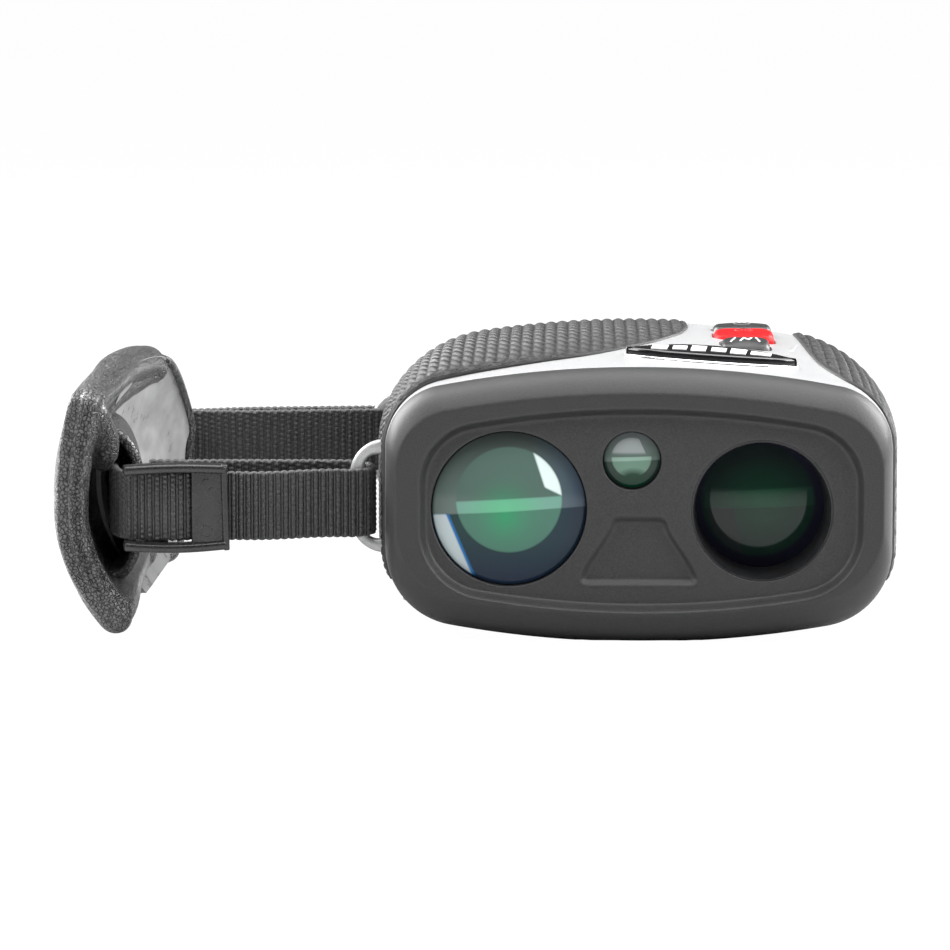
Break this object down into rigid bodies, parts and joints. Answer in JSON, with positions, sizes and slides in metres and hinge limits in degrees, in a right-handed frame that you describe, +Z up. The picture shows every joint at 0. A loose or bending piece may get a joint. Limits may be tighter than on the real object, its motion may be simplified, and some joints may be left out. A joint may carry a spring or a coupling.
{
  "type": "laser rangefinder",
  "caption": "Hand-held laser rangefinder with twin front lenses, a small emitter lens, rubber side grips, top keys, an eyepiece and a padded hand strap on two side loops.",
  "frame": {"origin": "centre of the flat landing along the underside of the housing, which the part rests on", "axes": "+Z up, -Y towards the target through the front lenses, +X towards the objective side; the strap is on the -X side"},
  "size_m": [0.135, 0.1101, 0.0461],
  "materials": {
    "silver_paint": "fine metallic silver paint on moulded plastic",
    "graphite_plastic": "fine sand-blasted texture, satin",
    "grip_rubber": "matt rubber with a raised pattern",
    "seal_rubber": "smooth",
    "coated_glass": "polished, green anti-reflection coating",
    "black_alloy": "black anodised, matt",
    "black_polymer": "satin moulded",
    "bright_chrome": "polished",
    "gloss_black": "high gloss",
    "key_black": "satin gloss",
    "key_red": "gloss",
    "circuit_board": "solder mask",
    "plain_steel": "bright zinc",
    "cell_wrap": "printed sleeve",
    "strap_webbing": "ribbed woven tape",
    "pad_leather": "fine grain, soft sheen",
    "pad_cloth": "smooth lining over foam"
  },
  "bodies": {
    "housing": {"front_bezel": "graphite_plastic", "upper_shell": "silver_paint", "lower_shell": "silver_paint", "rear_cover": "graphite_plastic", "left_grip": "grip_rubber", "right_grip": "grip_rubber", "bezel_gasket": "seal_rubber", "rear_gasket": "seal_rubber", "front_strap_lug": "silver_paint", "rear_strap_lug": "silver_paint", "case_screws": "plain_steel", "badge_trim": "bright_chrome", "name_badge": "gloss_black", "receiver_lens": "coated_glass", "receiver_cell": "black_alloy", "receiver_retainer": "black_alloy", "objective_tube": "black_alloy", "objective_lens": "coated_glass", "objective_retainer": "black_alloy", "emitter_lens": "coated_glass", "emitter_cell": "black_alloy", "laser_diode": "plain_steel", "laser_board": "circuit_board", "photodiode": "plain_steel", "receiver_board": "circuit_board", "optics_frame": "black_polymer", "prism_block": "coated_glass", "prism_holder": "black_polymer", "display_panel": "circuit_board", "ocular_tube": "black_polymer", "battery_tube": "black_polymer", "battery_contact": "plain_steel", "battery": "cell_wrap", "battery_spring": "plain_steel", "main_board": "circuit_board", "shield_can": "plain_steel", "button_board": "circuit_board", "board_connector": "circuit_board", "tact_switches": "plain_steel", "board_screws": "plain_steel"},
    "measure_key": {"measure_button": "key_red"},
    "mode_key": {"mode_button": "key_black"},
    "power_key": {"power_button": "key_black"},
    "eyepiece_ring": {"diopter_ring": "graphite_plastic", "eyecup": "grip_rubber"},
    "ocular_group": {"ocular_cell": "black_alloy", "ocular_lens": "coated_glass"},
    "cap_seal": {"battery_seal": "seal_rubber"},
    "cap": {"battery_cap": "graphite_plastic"},
    "front_strap": {"front_webbing": "strap_webbing"},
    "buckle": {"strap_buckle": "black_polymer"},
    "hand_pad": {"pad_cover": "pad_leather", "pad_foam": "pad_cloth", "pad_lining": "pad_cloth", "pad_sleeve": "pad_leather", "pad_binding": "pad_cloth", "pad_webbing": "strap_webbing"},
    "rear_strap": {"rear_webbing": "strap_webbing"}
  },
  "joints": [
    {"name": "measure_press", "type": "slide", "parent": "housing", "child": "measure_key", "axis": [0, 0, -1], "range_m": [0, 0.0007], "stiffness_N_per_m": 900},
    {"name": "mode_press", "type": "slide", "parent": "housing", "child": "mode_key", "axis": [0, 0, -1], "range_m": [0, 0.0007], "stiffness_N_per_m": 900},
    {"name": "power_press", "type": "slide", "parent": "housing", "child": "power_key", "axis": [0, 0, -1], "range_m": [0, 0.0007], "stiffness_N_per_m": 900},
    {"name": "diopter_turn", "type": "hinge", "parent": "housing", "child": "eyepiece_ring", "pos_m": [0.0189, 0.0523, 0.0205], "axis": [0, 1, 0], "range_deg": [-150, 150]},
    {"name": "focus_travel", "type": "slide", "parent": "housing", "child": "ocular_group", "axis": [0, 1, 0], "range_m": [-0.0009, 0.0009]},
    {"name": "cap_travel", "type": "slide", "parent": "housing", "child": "cap_seal", "axis": [0, 1, 0], "range_m": [0, 0.004]},
    {"name": "cap_turn", "type": "hinge", "parent": "cap_seal", "child": "cap", "pos_m": [-0.02, 0.052, 0.021], "axis": [0, 1, 0], "range_deg": [0, 720]},
    {"name": "strap_swing", "type": "hinge", "parent": "housing", "child": "front_strap", "pos_m": [-0.0436, -0.038, 0.0205], "axis": [0, 0, 1], "range_deg": [-35, 25]},
    {"name": "pad_swing", "type": "hinge", "parent": "front_strap", "child": "hand_pad", "pos_m": [-0.078, -0.043, 0.0205], "axis": [0, 0, 1], "range_deg": [-25, 35]},
    {"name": "rear_strap_swing", "type": "hinge", "parent": "housing", "child": "rear_strap", "pos_m": [-0.0436, 0.038, 0.022], "axis": [0, 0, 1], "range_deg": [-35, 25]},
    {"name": "buckle_travel", "type": "slide", "parent": "front_strap", "child": "buckle", "axis": [0.9896, 0.1438, 0], "range_m": [0, 0.012]}
  ],
  "couplings": [
    {"joint": "focus_travel", "follows": "diopter_turn", "m_per_rad": 0.00034377},
    {"joint": "cap_travel", "follows": "cap_turn", "m_per_rad": 0.00031828},
    {"joint": "pad_swing", "follows": "strap_swing", "ratio": -1},
    {"joint": "rear_strap_swing", "follows": "strap_swing", "ratio": 1}
  ]
}
